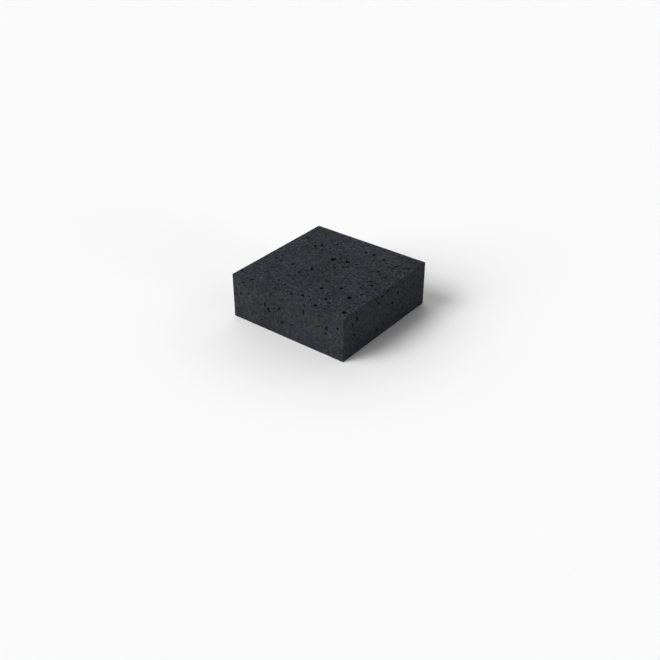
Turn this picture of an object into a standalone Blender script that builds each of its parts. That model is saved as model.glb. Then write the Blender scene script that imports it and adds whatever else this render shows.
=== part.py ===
"""Square paving block of dark cast concrete, 200 x 200 x 70 mm, with the open air voids of wet casting.

The block is one casting, so the model is one solid: a slab with eased arrises, from which every
larger air void is cut. The origin is the centre of the bed face, +Z points up to the wearing face,
and X and Y stand square to the four side faces.

Run it with: blender --background --python part.py
"""

import math
import random

import bmesh
import bpy
from mathutils import Matrix, Vector

MM = 0.001

# Driving dimensions
SIDE = 200 * MM
HEIGHT = 70 * MM
ARRIS = 0.7 * MM  # how far each edge is eased by the mould and by handling
ARRIS_SEGMENTS = 2

# Air voids are ellipsoids sunk a little below the face, so the mouth is tighter than the inside.
SUNK_SHARE = 0.25  # of the half depth
DEPTH_PER_WIDTH = 0.50  # half depth against the mouth's smaller width
MOUTH_SEGMENTS = 10
DEPTH_RINGS = 5  # odd, so that no ring of corners lies in the face's plane

# The larger voids, as (across, up, length, width, turn): millimetres from the face's centre, and degrees.
TOP_VOIDS = [
    (9, 31, 8.4, 7.2, 130),
    (-12, 24, 9.8, 7.4, 50),
    (74, -51, 7.8, 7.4, 0),
    (92, -86, 7.6, 6.6, 10),
    (62, 34, 5.8, 5.0, 120),
    (48, 69, 6.2, 5.2, 120),
    (27, 73, 7.0, 5.2, 135),
    (14, 71, 5.8, 5.2, 40),
    (19, -85, 6.4, 5.2, 125),
    (49, -95, 6.2, 5.4, 120),
    (74, 62, 5.8, 4.8, 120),
    (92, 68, 5.0, 4.6, 110),
    (-37, 66, 5.0, 4.4, 60),
    (-54, 50, 6.8, 5.4, 120),
    (-60, 42, 5.8, 5.2, 120),
    (-86, 56, 5.6, 4.8, 80),
    (-5, 32, 4.8, 4.2, 120),
    (6, 5, 5.0, 4.2, 125),
    (14, 14, 5.2, 4.2, 125),
    (-18, -19, 6.6, 5.2, 120),
    (-50, -24, 5.0, 4.6, 0),
    (70, 4, 4.8, 4.4, 0),
    (78, -4, 5.4, 4.4, 95),
    (49, -37, 5.6, 4.6, 110),
    (27, -53, 6.4, 5.4, 30),
    (60, -79, 6.0, 5.2, 30),
    (50, -73, 5.4, 4.2, 100),
    (-66, -95, 5.8, 4.8, 30),
    (-96, -83, 4.6, 4.4, 0),
    (4, -92, 5.2, 4.6, 150),
    (24, 32, 4.4, 3.8, 120),
    (74, 54, 4.8, 3.8, 110),
]
FRONT_VOIDS = [
    (-32, 0, 8.2, 5.6, 118),
    (-39, 6, 6.6, 4.2, 110),
    (61, 25, 10.5, 3.8, 8),
    (-6, -11, 12.5, 4.4, 32),
    (72, 9, 7.2, 4.6, 100),
    (71, 0, 5.6, 4.0, 15),
    (33, 31, 5.2, 4.4, 20),
    (32, 20, 11.0, 3.8, 86),
    (-12, 9, 9.5, 3.8, 62),
    (91, 16, 5.0, 4.4, 0),
    (-78, 28, 6.0, 4.2, 15),
    (-84, 8, 5.6, 4.0, 20),
    (57, 7, 5.0, 3.8, 20),
]
RIGHT_VOIDS = [
    (-69, 20, 8.5, 5.2, 100),
    (-79, 16, 5.4, 3.6, 92),
    (-11, 28, 7.2, 4.8, 165),
    (-19, 21, 6.4, 3.8, 155),
    (5, 30, 5.6, 4.6, 0),
    (14, 31, 5.6, 3.6, 170),
    (29, 16, 6.4, 5.0, 150),
    (16, 5, 7.0, 3.8, 160),
    (-74, -3, 6.4, 4.6, 140),
    (-21, -23, 5.0, 4.0, 150),
]

# The faces that carry seeded voids only, as (face, how many, least width, most width in millimetres).
SCATTERED_FACES = [("bed", 24, 3.6, 6.5), ("back", 12, 3.4, 6.0), ("left", 12, 3.4, 6.0)]
SCATTER_SEED = 20
MOST_STRETCH = 1.9  # length over width of a scattered void
EDGE_MARGIN = 3 * MM  # between a scattered void's mouth and the face's edge
CENTRE_CLEAR = 6 * MM  # kept free at each face's centre

CONCRETE_COLOUR = (0.040, 0.041, 0.048, 1.0)
CONCRETE_ROUGHNESS = 0.9


def clear_scene():
    for obj in list(bpy.data.objects):
        bpy.data.objects.remove(obj, do_unlink=True)


def new_collection(name):
    made = bpy.data.collections.new(name)
    bpy.context.scene.collection.children.link(made)
    return made


def face_frames():
    """For each face, the matrix from (across, up, outwards) to the block, and the face's width and height."""
    half, middle = SIDE / 2, HEIGHT / 2
    x, y, z = Vector((1, 0, 0)), Vector((0, 1, 0)), Vector((0, 0, 1))
    faces = {
        "top": (Vector((0, 0, HEIGHT)), x, y, SIDE),
        "bed": (Vector((0, 0, 0)), x, -y, SIDE),
        "front": (Vector((0, -half, middle)), x, z, HEIGHT),
        "back": (Vector((0, half, middle)), -x, z, HEIGHT),
        "right": (Vector((half, 0, middle)), y, z, HEIGHT),
        "left": (Vector((-half, 0, middle)), -y, z, HEIGHT),
    }
    frames = {}
    for name, (centre, across, up, height) in faces.items():
        turn = Matrix((across, up, across.cross(up))).transposed().to_4x4()
        frames[name] = (Matrix.Translation(centre) @ turn, SIDE, height)
    return frames


def concrete_material():
    material = bpy.data.materials.new("cast_concrete")
    material.use_nodes = True
    shader = material.node_tree.nodes["Principled BSDF"]
    shader.inputs["Base Color"].default_value = CONCRETE_COLOUR
    shader.inputs["Roughness"].default_value = CONCRETE_ROUGHNESS
    shader.inputs["Metallic"].default_value = 0.0
    return material


def slab(collection):
    """The block before its voids are cut: a box with eased arrises, standing on the origin's plane."""
    bpy.ops.mesh.primitive_cube_add(size=1, location=(0, 0, HEIGHT / 2))
    obj = bpy.context.object
    obj.name = obj.data.name = "paving_block"
    obj.scale = (SIDE, SIDE, HEIGHT)
    bpy.ops.object.transform_apply(location=False, rotation=False, scale=True)
    for old in obj.users_collection:
        old.objects.unlink(obj)
    collection.objects.link(obj)
    obj.data.materials.append(concrete_material())
    easing = obj.modifiers.new("eased_arrises", "BEVEL")
    easing.width = ARRIS
    easing.segments = ARRIS_SEGMENTS
    return obj


def void_cutter(name, frame, void, collection):
    """One air void as an ellipsoid whose mouth in the face is length by width."""
    across, up, length, width, turn = void
    half_depth = DEPTH_PER_WIDTH * width
    widening = 1 / math.sqrt(1 - SUNK_SHARE**2)
    sizes = Vector((length / 2 * widening, width / 2 * widening, half_depth)) * MM
    mesh = bpy.data.meshes.new(name)
    shape = bmesh.new()
    bmesh.ops.create_uvsphere(shape, u_segments=MOUTH_SEGMENTS, v_segments=DEPTH_RINGS, radius=1)
    bmesh.ops.scale(shape, vec=sizes, verts=shape.verts)
    shape.to_mesh(mesh)
    shape.free()
    obj = bpy.data.objects.new(name, mesh)
    collection.objects.link(obj)
    centre = Vector((across * MM, up * MM, -SUNK_SHARE * half_depth * MM))
    obj.matrix_world = frame @ Matrix.Translation(centre) @ Matrix.Rotation(math.radians(turn), 4, "Z")
    obj.hide_render = True
    obj.display_type = "WIRE"
    return obj


def scattered_voids(rng, face_width, face_height, count, least, most):
    """Seeded voids, small ones commoner, none touching another, the face's edge or its centre."""
    found = []
    while len(found) < count:
        width = least + (most - least) * rng.random() ** 2
        length = width * rng.uniform(1.0, MOST_STRETCH)
        reach = length / 2 * MM + EDGE_MARGIN
        across = rng.uniform(reach - face_width / 2, face_width / 2 - reach)
        up = rng.uniform(reach - face_height / 2, face_height / 2 - reach)
        spot = Vector((across, up))
        apart = all((spot - other).length > reach + far for other, far, _ in found)
        if apart and spot.length > reach + CENTRE_CLEAR:
            void = (across / MM, up / MM, length, width, rng.uniform(0, 180))
            found.append((spot, length / 2 * MM, void))
    return [void for _, _, void in found]


def all_voids(frames):
    """Each face's voids, first the placed ones and then the seeded ones."""
    rng = random.Random(SCATTER_SEED)
    voids = {"top": TOP_VOIDS, "front": FRONT_VOIDS, "right": RIGHT_VOIDS}
    for face, count, least, most in SCATTERED_FACES:
        _, width, height = frames[face]
        voids[face] = scattered_voids(rng, width, height, count, least, most)
    return voids


def main():
    clear_scene()
    part = new_collection("paving_block")
    cutters = new_collection("void_cutters")
    cutters.hide_render = True
    block = slab(part)
    frames = face_frames()
    for face, voids in all_voids(frames).items():
        for number, void in enumerate(voids, start=1):
            void_cutter(f"void_{face}_{number:02d}", frames[face][0], void, cutters)
    cut = block.modifiers.new("air_voids", "BOOLEAN")
    cut.operation = "DIFFERENCE"
    cut.operand_type = "COLLECTION"
    cut.collection = cutters
    cut.solver = "EXACT"


main()
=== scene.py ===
"""Looks of the square paving block in charcoal-coloured cast concrete.

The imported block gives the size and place. The visual block is a finer mesh of the same size: a slab with
worn arrises and a slightly uneven skin, in which the air voids of wet casting are cut, from 12 mm down
to under 1 mm. Lengths are in millimetres where a name or comment says so, and in metres elsewhere.
"""

import math
import random

import bmesh
import bpy
from mathutils import Matrix, Vector, noise


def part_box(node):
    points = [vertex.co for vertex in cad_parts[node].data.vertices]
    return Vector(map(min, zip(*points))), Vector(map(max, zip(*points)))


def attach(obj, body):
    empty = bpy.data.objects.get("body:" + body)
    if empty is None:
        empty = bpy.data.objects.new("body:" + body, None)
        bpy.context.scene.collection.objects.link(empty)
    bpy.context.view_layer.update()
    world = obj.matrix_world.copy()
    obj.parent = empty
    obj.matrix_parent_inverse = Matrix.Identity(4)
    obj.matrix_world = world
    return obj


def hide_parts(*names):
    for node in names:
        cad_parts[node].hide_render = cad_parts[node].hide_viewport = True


MM = 0.001

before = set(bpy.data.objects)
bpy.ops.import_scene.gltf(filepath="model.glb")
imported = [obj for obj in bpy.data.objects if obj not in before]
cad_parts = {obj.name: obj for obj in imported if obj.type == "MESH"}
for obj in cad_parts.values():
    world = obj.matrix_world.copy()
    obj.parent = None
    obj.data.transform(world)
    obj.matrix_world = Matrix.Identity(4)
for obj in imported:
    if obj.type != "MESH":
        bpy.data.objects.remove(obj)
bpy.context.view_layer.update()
LOW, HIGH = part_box("paving_block")
CENTRE = (LOW + HIGH) / 2
HALF = (HIGH - LOW) / 2

# ---------------------------------------------------------------- the casting's skin and arrises

CELL = 3.0  # mm, the skin's mesh
ARRIS_ROWS = (0.25, 0.6, 1.1, 1.8)  # mm from each edge, where the mesh is finer
ARRIS_RADIUS = 0.5  # mm, how far an arris is usually eased
ARRIS_UNEVEN = 0.3  # mm, how much that varies along the block
LEAST_RADIUS = 0.2  # mm
ARRIS_WAVES = (14, 5)  # mm, the long and short waves of that variation
CHIP_DEPTH = 1.5  # mm, the most that a chip adds
CHIP_LEVEL = 0.38  # of the noise, above which an arris is chipped
CHIP_WAVES = (9, 3.5)  # mm, the long and short waves of the chips
SKIN_WAVES = ((0.07, 17.0), (0.04, 6.0))  # depth and length in mm of the skin's unevenness
SHARP_ANGLE = 38  # degrees between two faces, above which their edge is shaded sharp


def row_positions(low, high):
    """Planes that cut one side of the slab into cells, with finer rows along its two edges."""
    near = [row * MM for row in ARRIS_ROWS]
    start, stop = low + near[-1], high - near[-1]
    cells = round((stop - start) / (CELL * MM))
    inner = [start + (stop - start) * step / cells for step in range(cells + 1)]
    return [low + row for row in near[:-1]] + inner + [high - row for row in near[:-1]]


def noise_at(point, length, seed):
    """Smooth noise from -1 to 1 whose waves are about length millimetres long."""
    return noise.noise(point / (length * MM) + Vector((seed, -seed, 2 * seed)))


def worn_radius(point):
    """How far the arris nearest to a point is eased: a steady little, and here and there a chip."""
    long_wave, short_wave = ARRIS_WAVES
    uneven = noise_at(point, long_wave, 3.1) + 0.5 * noise_at(point, short_wave, 7.7)
    radius = ARRIS_RADIUS + ARRIS_UNEVEN * uneven
    long_wave, short_wave = CHIP_WAVES
    chip = noise_at(point, long_wave, 11.3) + 0.5 * noise_at(point, short_wave, 15.9) - CHIP_LEVEL
    return (max(radius, LEAST_RADIUS) + max(chip, 0) * CHIP_DEPTH) * MM


def shaped(point):
    """A point of the plain box, moved onto the worn and slightly uneven casting, never outside the box."""
    place = point - CENTRE
    radius = worn_radius(point)
    inner = Vector(max(-(half - radius), min(half - radius, part)) for part, half in zip(place, HALF))
    outward = place - inner
    if outward.length < 1e-9:
        return point
    outward.normalize()
    dip = sum(depth * (0.5 + 0.5 * noise_at(point, length, length)) for depth, length in SKIN_WAVES)
    return CENTRE + inner + outward * (radius - dip * MM)


def slab_mesh():
    """The casting before its voids: a box cut into cells, then shaped point by point."""
    slab = bmesh.new()
    bmesh.ops.create_cube(slab, size=1)
    for vert in slab.verts:
        vert.co = CENTRE + Vector(2 * part * half for part, half in zip(vert.co, HALF))
    for axis in range(3):
        normal = Vector((axis == 0, axis == 1, axis == 2))
        for position in row_positions(LOW[axis], HIGH[axis]):
            everything = slab.verts[:] + slab.edges[:] + slab.faces[:]
            bmesh.ops.bisect_plane(
                slab, geom=everything, dist=1e-6, plane_co=normal * position, plane_no=normal
            )
    for vert in slab.verts:
        vert.co = shaped(vert.co)
    bmesh.ops.triangulate(slab, faces=slab.faces)
    mesh = bpy.data.meshes.new("slab")
    slab.to_mesh(mesh)
    slab.free()
    return mesh


# ---------------------------------------------------------------- air voids

# Those that the photo shows, as (across, up, length, width, turn): mm from the face's centre, and degrees.
TOP_VOIDS = [
    (9, 31, 8.4, 7.2, 130),
    (-12, 24, 9.8, 7.4, 50),
    (74, -51, 7.8, 7.4, 0),
    (92, -86, 7.6, 6.6, 10),
    (62, 34, 5.8, 5.0, 120),
    (48, 69, 6.2, 5.2, 120),
    (27, 73, 7.0, 5.2, 135),
    (14, 71, 5.8, 5.2, 40),
    (19, -85, 6.4, 5.2, 125),
    (49, -95, 6.2, 5.4, 120),
    (74, 62, 5.8, 4.8, 120),
    (92, 68, 5.0, 4.6, 110),
    (-37, 66, 5.0, 4.4, 60),
    (-54, 50, 6.8, 5.4, 120),
    (-60, 42, 5.8, 5.2, 120),
    (-86, 56, 5.6, 4.8, 80),
    (-5, 32, 4.8, 4.2, 120),
    (6, 5, 5.0, 4.2, 125),
    (14, 14, 5.2, 4.2, 125),
    (-18, -19, 6.6, 5.2, 120),
    (-50, -24, 5.0, 4.6, 0),
    (70, 4, 4.8, 4.4, 0),
    (78, -4, 5.4, 4.4, 95),
    (49, -37, 5.6, 4.6, 110),
    (27, -53, 6.4, 5.4, 30),
    (60, -79, 6.0, 5.2, 30),
    (50, -73, 5.4, 4.2, 100),
    (-66, -95, 5.8, 4.8, 30),
    (-96, -83, 4.6, 4.4, 0),
    (4, -92, 5.2, 4.6, 150),
    (24, 32, 4.4, 3.8, 120),
    (74, 54, 4.8, 3.8, 110),
    (19, 19, 4.0, 3.2, 120),
    (-1, 84, 4.6, 3.8, 130),
    (-20, -77, 4.6, 3.6, 110),
    (-49, -75, 4.4, 3.4, 140),
    (-82, -72, 3.8, 3.2, 120),
    (-66, -66, 3.6, 3.0, 120),
    (-28, -36, 4.8, 3.8, 100),
    (-81, -23, 4.6, 3.8, 120),
    (-70, -27, 4.2, 3.4, 120),
    (-41, -29, 4.0, 3.2, 120),
    (-12, -35, 4.4, 3.4, 120),
    (20, -10, 4.0, 3.2, 130),
    (-14, 43, 4.4, 3.4, 130),
    (-37, 49, 4.2, 3.4, 120),
    (35, -88, 3.8, 3.2, 120),
    (28, -82, 3.6, 3.0, 120),
    (69, -18, 4.0, 3.4, 110),
    (82, -34, 4.0, 3.4, 110),
    (58, 62, 3.8, 3.0, 120),
    (77, 89, 4.2, 3.2, 120),
    (84, 85, 3.6, 3.0, 120),
    (81, 94, 3.2, 2.6, 120),
    (51, -30, 3.6, 3.0, 120),
    (80, 25, 3.8, 3.0, 100),
    (86, 44, 3.6, 3.0, 120),
    (60, -11, 3.4, 2.8, 120),
    (-34, -52, 3.2, 2.8, 120),
    (-86, -55, 3.4, 2.8, 120),
    (1, -18, 3.2, 2.8, 120),
]
FRONT_VOIDS = [
    (-32, 0, 8.2, 5.6, 118),
    (-39, 6, 6.6, 4.2, 110),
    (61, 25, 10.5, 3.8, 8),
    (-6, -11, 12.5, 4.4, 32),
    (72, 9, 7.2, 4.6, 100),
    (71, 0, 5.6, 4.0, 15),
    (33, 31, 5.2, 4.4, 20),
    (32, 20, 11.0, 3.8, 86),
    (-12, 9, 9.5, 3.8, 62),
    (91, 16, 5.0, 4.4, 0),
    (-78, 28, 6.0, 4.2, 15),
    (-84, 8, 5.6, 4.0, 20),
    (57, 7, 5.0, 3.8, 20),
    (-93, 3, 6.0, 2.6, 95),
    (-51, 25, 6.0, 2.6, 15),
    (-11, 24, 4.4, 3.0, 20),
    (10, 24, 3.8, 2.6, 30),
    (-28, 28, 4.2, 2.6, 30),
    (-41, 32, 5.4, 2.0, 10),
    (72, 21, 5.4, 1.8, 10),
    (90, -19, 3.8, 2.6, 20),
    (94, -4, 6.0, 2.4, 90),
    (-44, -16, 4.4, 2.6, 30),
    (19, 9, 3.6, 2.4, 60),
    (11, 4, 3.6, 2.4, 60),
    (-71, 12, 4.6, 2.2, 95),
    (76, -30, 3.6, 2.4, 10),
]
RIGHT_VOIDS = [
    (-69, 20, 8.5, 5.2, 100),
    (-79, 16, 5.4, 3.6, 92),
    (-11, 28, 7.2, 4.8, 165),
    (-19, 21, 6.4, 3.8, 155),
    (5, 30, 5.6, 4.6, 0),
    (14, 31, 5.6, 3.6, 170),
    (29, 16, 6.4, 5.0, 150),
    (16, 5, 7.0, 3.8, 160),
    (-74, -3, 6.4, 4.6, 140),
    (-21, -23, 5.0, 4.0, 150),
    (-26, 30, 4.4, 3.0, 160),
    (33, 31, 4.0, 3.0, 170),
    (-28, -8, 4.8, 2.8, 150),
    (84, 31, 4.0, 2.8, 170),
    (59, 4, 3.6, 2.4, 150),
    (89, 0, 4.6, 2.4, 110),
    (66, -21, 4.0, 2.8, 150),
    (-79, -8, 3.8, 2.8, 140),
    (21, 15, 3.8, 2.8, 150),
    (-83, 26, 3.2, 2.4, 120),
]
# The larger voids of the faces that the photo hides, drawn as the block's design draws them.
SCATTERED_FACES = (("bed", 24, 3.6, 6.5), ("back", 12, 3.4, 6.0), ("left", 12, 3.4, 6.0))
SCATTER_SEED = 20
MOST_STRETCH = 1.9  # length over width of a scattered void
EDGE_MARGIN = 3.0  # mm between a scattered void's mouth and the face's edge
CENTRE_CLEAR = 6.0  # mm kept free at each face's centre

# Fine voids at chance places: how many on each face, of (least, most) width in mm
FINE_VOIDS = {
    "top": ((170, 1.7, 3.2), (300, 0.9, 1.7)),
    "front": ((20, 1.6, 2.4), (90, 0.9, 1.6)),
    "right": ((20, 1.6, 2.4), (90, 0.9, 1.6)),
    "bed": ((110, 1.7, 3.4), (200, 0.9, 1.7)),
    "back": ((36, 1.6, 3.2), (90, 0.9, 1.6)),
    "left": ((36, 1.6, 3.2), (90, 0.9, 1.6)),
}
SMALL_ARE_COMMONER = 1.6  # power of the draw between least and most width
MOST_TRIES = 60  # per fine void, after which a crowded face is left as it is
FINE_MARGIN = 0.6  # of a fine void's length, kept between its centre and the face's edge
VOID_GAP = 0.5  # mm of skin between two voids
SUNK_SHARE = 0.28  # of the half depth that a void's centre lies under the skin
# How the bubbles differ: most length over width, (least, most) half depth over width, and unevenness.
LEVEL_VOIDS = (1.3, (0.50, 0.66), 0.16)  # on the top and bed
WALL_VOIDS = (2.0, (0.30, 0.44), 0.28)  # on the sides, where the mould draws them out and flattens them
SPHERE_WIDTHS = (0, 1.45, 3.3, 6.0)  # mm, from which a bubble has 20, 80, 320 and 1280 triangles
DENTS = ((1.3, 1.0), (3.1, 0.4))  # the unevenness's waves, as (how many per radius, share)
VOID_SEED = 41


def face_frames():
    """For each face, the matrix from (across, up, outwards) to the block, and half its width and height."""
    x, y, z = Vector((1, 0, 0)), Vector((0, 1, 0)), Vector((0, 0, 1))
    sides = {
        "top": (z, x, y),
        "bed": (-z, x, -y),
        "front": (-y, x, z),
        "back": (y, -x, z),
        "right": (x, y, z),
        "left": (-x, -y, z),
    }
    frames = {}
    for name, (outward, across, up) in sides.items():
        centre = CENTRE + Vector(part * half for part, half in zip(outward, HALF))
        turn = Matrix((across, up, outward)).transposed().to_4x4()
        width, height = (abs(direction.dot(HALF)) for direction in (across, up))
        frames[name] = (Matrix.Translation(centre) @ turn, width / MM, height / MM)
    return frames


def scattered_voids(rng, half_width, half_height, count, least, most):
    """Larger voids at chance places, none touching another, the face's edge or its centre."""
    found = []
    while len(found) < count:
        width = least + (most - least) * rng.random() ** 2
        length = width * rng.uniform(1.0, MOST_STRETCH)
        reach = length / 2 + EDGE_MARGIN
        across = rng.uniform(reach - half_width, half_width - reach)
        up = rng.uniform(reach - half_height, half_height - reach)
        apart = all(math.hypot(across - a, up - u) > reach + far / 2 for a, u, far, _, _ in found)
        if apart and math.hypot(across, up) > reach + CENTRE_CLEAR:
            found.append((across, up, length, width, rng.uniform(0, 180)))
    return found


def fine_voids(rng, taken, half_width, half_height, count, least, most, stretch):
    """Fine voids at chance places, clear of those in taken, to which they are added."""
    tries = 0
    made = 0
    while made < count and tries < MOST_TRIES * count:
        tries += 1
        width = least + (most - least) * rng.random() ** SMALL_ARE_COMMONER
        length = width * rng.uniform(1.0, stretch)
        across = rng.uniform(-half_width, half_width)
        up = rng.uniform(-half_height, half_height)
        turn = rng.uniform(0, 180)
        inside = max(abs(across) - half_width, abs(up) - half_height) < -FINE_MARGIN * length
        apart = all(
            math.hypot(across - a, up - u) > (length + far) / 2 + VOID_GAP for a, u, far, _, _ in taken
        )
        if inside and apart:
            taken.append((across, up, length, width, turn))
            made += 1


def unit_sphere(detail):
    """The corners and triangles of an icosphere of radius 1."""
    shape = bmesh.new()
    bmesh.ops.create_icosphere(shape, subdivisions=detail, radius=1)
    corners = [vert.co.copy() for vert in shape.verts]
    triangles = [[vert.index for vert in face.verts] for face in shape.faces]
    shape.free()
    return corners, triangles


def void_corners(rng, face, void, sphere, half_depths, rough):
    """The corners of one air void's bubble: a sphere drawn out, dented, and sunk a little under the skin."""
    across, up, length, width, turn = void
    half_depth = width * rng.uniform(*half_depths)
    widening = 1 / math.sqrt(1 - SUNK_SHARE**2)
    size = Vector((length / 2 * widening, width / 2 * widening, half_depth)) * MM
    centre = Vector((across * MM, up * MM, -SUNK_SHARE * half_depth * MM))
    place = face @ Matrix.Translation(centre) @ Matrix.Rotation(math.radians(turn), 4, "Z")
    seed = Vector((rng.uniform(0, 99), rng.uniform(0, 99), rng.uniform(0, 99)))
    found = []
    for corner in sphere:
        dent = sum(share * noise.noise(corner * waves + seed) for waves, share in DENTS)
        found.append(place @ Vector(part * radius * (1 + rough * dent) for part, radius in zip(corner, size)))
    return found


def void_mesh():
    """Every air void's bubble, in one mesh of separate closed bodies."""
    faces = face_frames()
    larger = {"top": TOP_VOIDS, "front": FRONT_VOIDS, "right": RIGHT_VOIDS}
    scatter = random.Random(SCATTER_SEED)
    for name, count, least, most in SCATTERED_FACES:
        larger[name] = scattered_voids(scatter, *faces[name][1:], count, least, most)
    rng = random.Random(VOID_SEED)
    spheres = [(least, unit_sphere(detail)) for detail, least in enumerate(SPHERE_WIDTHS, start=1)]
    corners = []
    triangles = []
    for name, (face, half_width, half_height) in faces.items():
        stretch, half_depths, rough = LEVEL_VOIDS if name in ("top", "bed") else WALL_VOIDS
        voids = list(larger[name])
        for count, least, most in FINE_VOIDS[name]:
            fine_voids(rng, voids, half_width, half_height, count, least, most, stretch)
        for void in voids:
            sphere, sides = [made for least, made in spheres if void[3] >= least][-1]
            first = len(corners)
            corners += void_corners(rng, face, void, sphere, half_depths, rough)
            triangles += [[first + index for index in side] for side in sides]
    mesh = bpy.data.meshes.new("air_voids")
    mesh.from_pydata(corners, [], triangles)
    return mesh


def as_object(name, mesh):
    obj = bpy.data.objects.new(name, mesh)
    bpy.context.scene.collection.objects.link(obj)
    return obj


def casting():
    """The block with its voids cut, as one closed mesh."""
    block = as_object("concrete_casting", slab_mesh())
    cutters = as_object("air_voids", void_mesh())
    cut = block.modifiers.new("air_voids", "BOOLEAN")
    cut.operation = "DIFFERENCE"
    cut.object = cutters
    cut.solver = "EXACT"
    bpy.context.view_layer.update()
    made = bpy.data.meshes.new_from_object(block.evaluated_get(bpy.context.evaluated_depsgraph_get()))
    block.modifiers.clear()
    block.data = made
    bpy.data.objects.remove(cutters, do_unlink=True)
    made.shade_smooth()
    made.set_sharp_from_angle(angle=math.radians(SHARP_ANGLE))
    return block


# ---------------------------------------------------------------- material

BLACK = (0.0206, 0.0214, 0.0232)  # charcoal pigment in grey cement, linear
BLUE_BLACK = (0.0203, 0.0211, 0.0300)  # the same where the cement is richer, as on the trowelled top
BLOOM_COLOUR = (0.060, 0.063, 0.070)  # thin lime bloom
MOST_BLOOM = 0.16
SPECULAR = 0.12
ROUGHNESS = (0.78, 0.96)
SMOOTHER_IN_VOIDS = 0.2

# The noise patterns, as (length in mm of the largest waves, detail, roughness, distortion)
CLOUDS = (55, 3, 0.55, 0.0)
RICHNESS = (38, 2, 0.55, 0.0)
BLOOM = (80, 4, 0.6, 0.6)
MOTTLE = (9, 5, 0.65, 0.4)
PASTE = (3.4, 4, 0.62, 0.3)
SAND = (0.8, 2, 0.6, 0.0)

# Scattered grains, as (mm apart, mm across, share of the places that hold one)
PALE_GRAINS = (1.9, 0.8, 0.45)
PINHOLES = (1.7, 0.7, 0.6)
SPECKS = (4.1, 1.9, 0.6)
SWIRL = (1.1, 0.5)  # mm, the length and reach of the waves that make their outlines uneven

# What each pattern multiplies the pigment by, at its least and its most
CLOUD_TONES = (0.90, 1.10)
MOTTLE_TONES = (0.70, 1.30)
PASTE_TONES = (0.50, 1.50)
SAND_TONES = (0.60, 1.40)
PALE_TONES = (1.0, 2.6)
# painted shade in the pinholes, which the bump also sinks
PINHOLE_SHADE_TONES = (1.0, 0.30)
SPECK_TONES = (1.0, 0.42)
# lighter near every arris: partly wear, partly a painted highlight of the eased edge
WEAR_AND_HIGHLIGHT_TONES = (1.0, 1.25)
# painted highlight along the upright arrises
UPRIGHT_HIGHLIGHT_TONES = (1.0, 1.35)

# On the sides, cast against the mould, and on the top and bed
OPENNESS = (0.74, 1.38)  # contrast of the grain
SPECKINESS = (0.4, 1.0)  # how many of the specks show
# Painted shade: deep in a void the pigment is darkened as shade would darken it, more in the voids of the top
# and bed
VOID_SHADE_TONES = (0.60, 0.35)  # what the pigment is multiplied by deep in a void

# Where a tone starts and where it is full, or the other way round, in mm
VOID_DEPTHS = (0.15, 1.3)  # under the nearest face
WEAR_AND_HIGHLIGHT_REACH = (0.1, 1.3)  # from any arris
UPRIGHT_HIGHLIGHT_REACH = (0.4, 2.8)  # from a vertical arris


def add(tree, kind, inputs, **settings):
    """A new node, whose inputs are sockets to link or plain values."""
    made = tree.nodes.new("ShaderNode" + kind)
    for name, value in settings.items():
        setattr(made, name, value)
    for key, value in inputs.items():
        if isinstance(value, bpy.types.NodeSocket):
            tree.links.new(value, made.inputs[key])
        else:
            made.inputs[key].default_value = value
    return made


def calc(tree, operation, *values):
    return add(tree, "Math", dict(enumerate(values)), operation=operation).outputs[0]


def spread(tree, value, low, high, to_low, to_high):
    """value from low..high taken to to_low..to_high, and held at the ends."""
    inputs = {"Value": value, "From Min": low, "From Max": high, "To Min": to_low, "To Max": to_high}
    return add(tree, "MapRange", inputs, interpolation_type="SMOOTHSTEP").outputs["Result"]


def cloud(tree, place, length, detail, roughness, distortion):
    """Noise from 0 to 1 whose largest waves are about length millimetres long."""
    inputs = {"Vector": place, "Scale": 1 / (length * MM), "Detail": detail, "Roughness": roughness}
    return add(tree, "TexNoise", inputs | {"Distortion": distortion}).outputs["Fac"]


def grains(tree, place, spacing, size, share):
    """1 inside scattered round grains of size mm, one in a share of the cells spacing mm apart, else 0."""
    cells = add(tree, "TexVoronoi", {"Vector": place, "Scale": 1 / (spacing * MM)}, feature="F1")
    chance = add(tree, "SeparateColor", {"Color": cells.outputs["Color"]})
    reach = size / 2 / spacing
    inside = spread(tree, cells.outputs["Distance"], 0.6 * reach, 1.2 * reach, 1.0, 0.0)
    chosen = calc(tree, "LESS_THAN", chance.outputs["Red"], share)
    weight = spread(tree, chance.outputs["Green"], 0.0, 1.0, 0.4, 1.0)
    return calc(tree, "MULTIPLY", calc(tree, "MULTIPLY", inside, chosen), weight)


def wobble(tree, place, length, reach):
    """A vector that wanders over about length millimetres, by up to about reach millimetres each way."""
    drift = add(tree, "TexNoise", {"Vector": place, "Scale": 1 / (length * MM), "Detail": 1.0})
    inputs = {0: drift.outputs["Color"], 1: (0.5, 0.5, 0.5)}
    centred = add(tree, "VectorMath", inputs, operation="SUBTRACT").outputs[0]
    return add(tree, "VectorMath", {0: centred, "Scale": 4 * reach * MM}, operation="SCALE").outputs[0]


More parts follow.
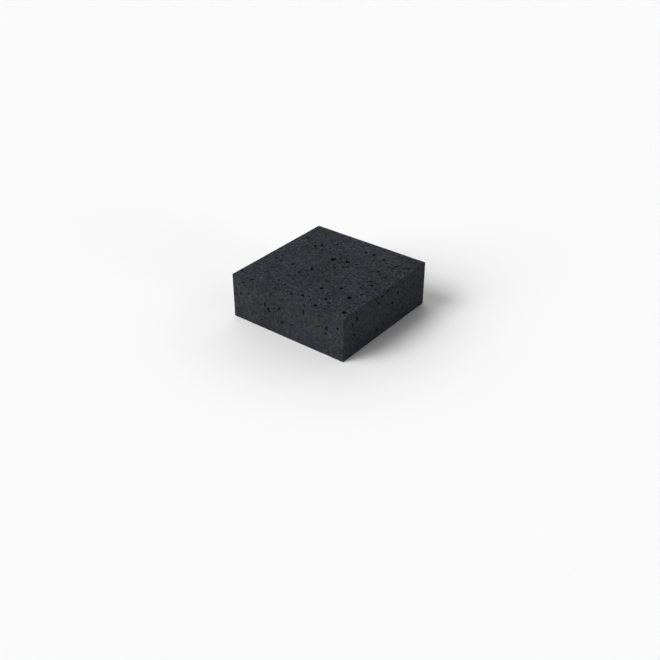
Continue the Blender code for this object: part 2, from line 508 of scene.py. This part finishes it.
def depths(tree, place):
    """A point's depth under the nearest face, its distances to the next face and to the further side, all in
    mm, and 1 where the nearest face is the top or the bed, else 0."""
    offset = add(tree, "VectorMath", {0: place, 1: CENTRE}, operation="SUBTRACT").outputs[0]
    reach = add(tree, "VectorMath", {0: offset}, operation="ABSOLUTE").outputs[0]
    inward = add(tree, "VectorMath", {0: HALF, 1: reach}, operation="SUBTRACT").outputs[0]
    scaled = add(tree, "VectorMath", {0: inward, "Scale": 1 / MM}, operation="SCALE").outputs[0]
    x, y, z = add(tree, "SeparateXYZ", {0: scaled}).outputs
    nearer = calc(tree, "MINIMUM", x, y)
    further = calc(tree, "MAXIMUM", x, y)
    depth = calc(tree, "MINIMUM", nearer, z)
    next_face = calc(tree, "MAXIMUM", nearer, calc(tree, "MINIMUM", further, z))
    level = calc(tree, "LESS_THAN", z, nearer)
    return depth, next_face, further, level


def stressed(tree, pattern, strength):
    """A pattern round 0.5 with its contrast changed."""
    return calc(tree, "MULTIPLY_ADD", calc(tree, "SUBTRACT", pattern, 0.5), strength, 0.5)


def product(tree, factors):
    """The product of sockets and plain values."""
    total = 1.0
    for factor in factors:
        total = calc(tree, "MULTIPLY", total, factor)
    return total


def uneven_normal(tree, relief):
    """The surface's normal over patterns that each stand out by their own height in millimetres."""
    height = 0.0
    for pattern, millimetres in relief:
        height = calc(tree, "ADD", height, calc(tree, "MULTIPLY", pattern, millimetres * MM))
    return add(tree, "Bump", {"Strength": 1.0, "Distance": 1.0, "Height": height}).outputs["Normal"]


def concrete():
    """Cast concrete: clouded pigment, mottled paste, sandy grain, pale and dark grains, bloom, painted shade
    in the pinholes and deep in the voids, and painted highlights along the arrises, partly wear.
    """
    material = bpy.data.materials.new("charcoal_concrete")
    material.use_nodes = True
    tree = material.node_tree
    shader = tree.nodes["Principled BSDF"]
    place = add(tree, "TexCoord", {}).outputs["Object"]
    depth, next_face, further_side, level = depths(tree, place)
    openness = spread(tree, level, 0.0, 1.0, *OPENNESS)

    clouds = cloud(tree, place, *CLOUDS)
    mottle = stressed(tree, cloud(tree, place, *MOTTLE), openness)
    paste = stressed(tree, cloud(tree, place, *PASTE), openness)
    sand = stressed(tree, cloud(tree, place, *SAND), openness)
    swirl = add(tree, "VectorMath", {0: wobble(tree, place, *SWIRL), 1: place}, operation="ADD").outputs[0]
    pale = grains(tree, swirl, *PALE_GRAINS)
    # pinholes: sunk by the bump and darkened with painted shade
    pinholes = grains(tree, swirl, *PINHOLES)
    speckiness = spread(tree, level, 0.0, 1.0, *SPECKINESS)
    specks = calc(tree, "MULTIPLY", grains(tree, swirl, *SPECKS), speckiness)
    # how deep in a void a point lies: it sets the painted shade there, the voids' smoother skin, and keeps
    # bloom out of them
    in_void = spread(tree, depth, *VOID_DEPTHS, 0.0, 1.0)
    # painted highlight along the upright arrises, patchy with the mottle
    near_upright_arris = spread(tree, further_side, *UPRIGHT_HIGHLIGHT_REACH, 1.0, 0.0)
    upright_highlight = calc(tree, "MULTIPLY", near_upright_arris, spread(tree, mottle, 0.4, 0.6, 0.2, 1.0))
    # lighter near every arris, partly wear and partly a painted highlight
    near_arris = spread(tree, next_face, *WEAR_AND_HIGHLIGHT_REACH, 1.0, 0.0)
    wear_and_highlight = calc(tree, "MULTIPLY", near_arris, spread(tree, paste, 0.4, 0.6, 0.2, 1.0))

    # painted shade deep in the voids, darker on the top and bed than on the sides
    void_shade = spread(tree, level, 0.0, 1.0, *VOID_SHADE_TONES)
    tone = product(tree, (
        spread(tree, clouds, 0.3, 0.7, *CLOUD_TONES),
        spread(tree, mottle, 0.3, 0.7, *MOTTLE_TONES),
        spread(tree, paste, 0.32, 0.68, *PASTE_TONES),
        spread(tree, sand, 0.3, 0.7, *SAND_TONES),
        spread(tree, pale, 0.0, 1.0, *PALE_TONES),
        # painted shade in the pinholes
        spread(tree, pinholes, 0.0, 1.0, *PINHOLE_SHADE_TONES),
        spread(tree, specks, 0.0, 1.0, *SPECK_TONES),
        # painted shade deep in the voids
        spread(tree, in_void, 0.0, 1.0, 1.0, void_shade),
        # partly wear, partly painted highlight near every arris
        spread(tree, wear_and_highlight, 0.0, 1.0, *WEAR_AND_HIGHLIGHT_TONES),
        # painted highlight along the upright arrises
        spread(tree, upright_highlight, 0.0, 1.0, *UPRIGHT_HIGHLIGHT_TONES),
    ))
    patches = spread(tree, cloud(tree, place, *RICHNESS), 0.35, 0.65, 0.0, 1.0)
    richness = calc(tree, "MULTIPLY_ADD", level, 0.5, calc(tree, "MULTIPLY", patches, 0.5))
    inputs = {"Factor": richness, "A": (*BLACK, 1), "B": (*BLUE_BLACK, 1)}
    pigment = add(tree, "Mix", inputs, data_type="RGBA").outputs["Result"]
    base = add(tree, "VectorMath", {0: pigment, "Scale": tone}, operation="SCALE").outputs[0]
    bloom = product(tree, (
        spread(tree, cloud(tree, place, *BLOOM), 0.52, 0.72, 0.0, MOST_BLOOM),
        spread(tree, sand, 0.35, 0.65, 0.2, 1.0),
        calc(tree, "SUBTRACT", 1.0, in_void),
    ))
    colour = add(tree, "Mix", {"Factor": bloom, "A": base, "B": (*BLOOM_COLOUR, 1)}, data_type="RGBA")
    tree.links.new(colour.outputs["Result"], shader.inputs["Base Color"])

    smoother = calc(tree, "MULTIPLY", in_void, SMOOTHER_IN_VOIDS)
    rough = calc(tree, "SUBTRACT", spread(tree, mottle, 0.3, 0.7, *ROUGHNESS), smoother)
    tree.links.new(rough, shader.inputs["Roughness"])
    shader.inputs["Specular IOR Level"].default_value = SPECULAR

    relief = ((mottle, 0.30), (paste, 0.26), (sand, 0.12), (pinholes, -0.30), (specks, -0.35), (pale, 0.04))
    tree.links.new(uneven_normal(tree, relief), shader.inputs["Normal"])
    return material


# ---------------------------------------------------------------- studio

FLOOR_SIZE = 14
FLOOR_WHITE = 0.82
KEY_DIRECTION = (232, 46)  # azimuth from +X and elevation in degrees
KEY_STRENGTH = 1.88
KEY_SPREAD = 30  # degrees across, which makes its shadow soft
FILL_DIRECTION = (250, 22)
FILL_STRENGTH = 1.95
FILL_SPREAD = 40
RIM_DIRECTION = (0, 8)
RIM_STRENGTH = 0.79
RIM_SPREAD = 16
BACK_DIRECTION = (135, 45)
BACK_STRENGTH = 0.46
BACK_SPREAD = 45
RING_STRENGTH = 2.23  # of the studio's bright wall
RING_HEIGHTS = (0.18, 0.34, 0.50, 0.66)  # sine of the elevations where the wall starts, is full, and fades
RING_AZIMUTH = 135  # where the wall is brightest, behind the block and to its left
RING_REACH = (-1.0, 0.3)  # cosine of the angle from there at which the wall is dark, and full
BACKDROP = 0.99


def direction(azimuth, elevation):
    """Unit vector towards an azimuth, counted from +X, and an elevation, in degrees."""
    a, e = math.radians(azimuth), math.radians(elevation)
    return Vector((math.cos(a) * math.cos(e), math.sin(a) * math.cos(e), math.sin(e)))


def soft_light(name, towards, strength, spread_angle):
    """A light so far away that it falls evenly, with the soft shadow of a wide source."""
    data = bpy.data.lights.new(name, "SUN")
    data.energy = strength
    data.angle = math.radians(spread_angle)
    light = bpy.data.objects.new(name, data)
    bpy.context.scene.collection.objects.link(light)
    light.rotation_euler = direction(*towards).to_track_quat("Z", "Y").to_euler()


def white_floor():
    bpy.ops.mesh.primitive_plane_add(size=FLOOR_SIZE, location=(0, 0, LOW.z))
    floor = bpy.context.object
    floor.name = "studio_floor"
    white = bpy.data.materials.new("studio_white")
    white.use_nodes = True
    shader = white.node_tree.nodes["Principled BSDF"]
    shader.inputs["Base Color"].default_value = (FLOOR_WHITE, FLOOR_WHITE, FLOOR_WHITE, 1)
    shader.inputs["Roughness"].default_value = 1.0
    shader.inputs["Specular IOR Level"].default_value = 0.0
    floor.data.materials.append(white)


def ring_world():
    """A studio lit by a low bright wall behind the block, in front of a plain white backdrop."""
    world = bpy.data.worlds.new("studio")
    bpy.context.scene.world = world
    world.use_nodes = True
    tree = world.node_tree
    light = tree.nodes["Background"]
    x, y, z = add(tree, "SeparateXYZ", {0: add(tree, "TexCoord", {}).outputs["Generated"]}).outputs
    start, full, fade, end = RING_HEIGHTS
    rise = spread(tree, z, start, full, 0.0, RING_STRENGTH)
    ring = calc(tree, "MULTIPLY", rise, spread(tree, z, fade, end, 1.0, 0.0))
    turned = calc(tree, "SUBTRACT", calc(tree, "ARCTAN2", y, x), math.radians(RING_AZIMUTH))
    wall = calc(tree, "MULTIPLY", ring, spread(tree, calc(tree, "COSINE", turned), *RING_REACH, 0.0, 1.0))
    tree.links.new(wall, light.inputs["Strength"])
    light.inputs["Color"].default_value = (1, 1, 1, 1)
    plain = add(tree, "Background", {"Color": (BACKDROP, BACKDROP, BACKDROP, 1), "Strength": 1.0})
    seen = add(tree, "LightPath", {}).outputs["Is Camera Ray"]
    mix = add(tree, "MixShader", {0: seen, 1: light.outputs[0], 2: plain.outputs[0]})
    tree.links.new(mix.outputs[0], tree.nodes["World Output"].inputs["Surface"])


def studio():
    """A white floor, wide lights from the front left, the right and behind, and a bright wall behind."""
    white_floor()
    soft_light("key", KEY_DIRECTION, KEY_STRENGTH, KEY_SPREAD)
    soft_light("fill", FILL_DIRECTION, FILL_STRENGTH, FILL_SPREAD)
    soft_light("rim", RIM_DIRECTION, RIM_STRENGTH, RIM_SPREAD)
    soft_light("back", BACK_DIRECTION, BACK_STRENGTH, BACK_SPREAD)
    ring_world()
    bpy.context.scene.view_settings.view_transform = "Standard"


CAMERA_DIRECTION = (37.84 - 90, 32.53)  # azimuth from +X and elevation in degrees
CAMERA_DISTANCE = 1.33214
CAMERA_ASIDE = 0.000106  # to the right of the block's middle
CAMERA_BELOW = 0.0606  # under it, which puts the block above the picture's middle
CAMERA_LENS = 49.33  # mm, on a sensor 36 mm wide


def camera():
    """The photo's view: 37.8 degrees round to the right of the front face and 32.5 degrees above."""
    back = direction(*CAMERA_DIRECTION)
    right = Vector((0, 0, 1)).cross(back).normalized()
    up = back.cross(right)
    data = bpy.data.cameras.new("photo_view")
    data.lens = CAMERA_LENS
    data.sensor_width = 36
    obj = bpy.data.objects.new("photo_view", data)
    bpy.context.scene.collection.objects.link(obj)
    obj.location = CENTRE + back * CAMERA_DISTANCE + right * CAMERA_ASIDE - up * CAMERA_BELOW
    obj.rotation_euler = back.to_track_quat("Z", "Y").to_euler()
    bpy.context.scene.camera = obj


def main():
    block = casting()
    block.data.materials.clear()
    block.data.materials.append(concrete())
    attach(block, "root")
    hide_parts("paving_block")
    studio()
    camera()


main()
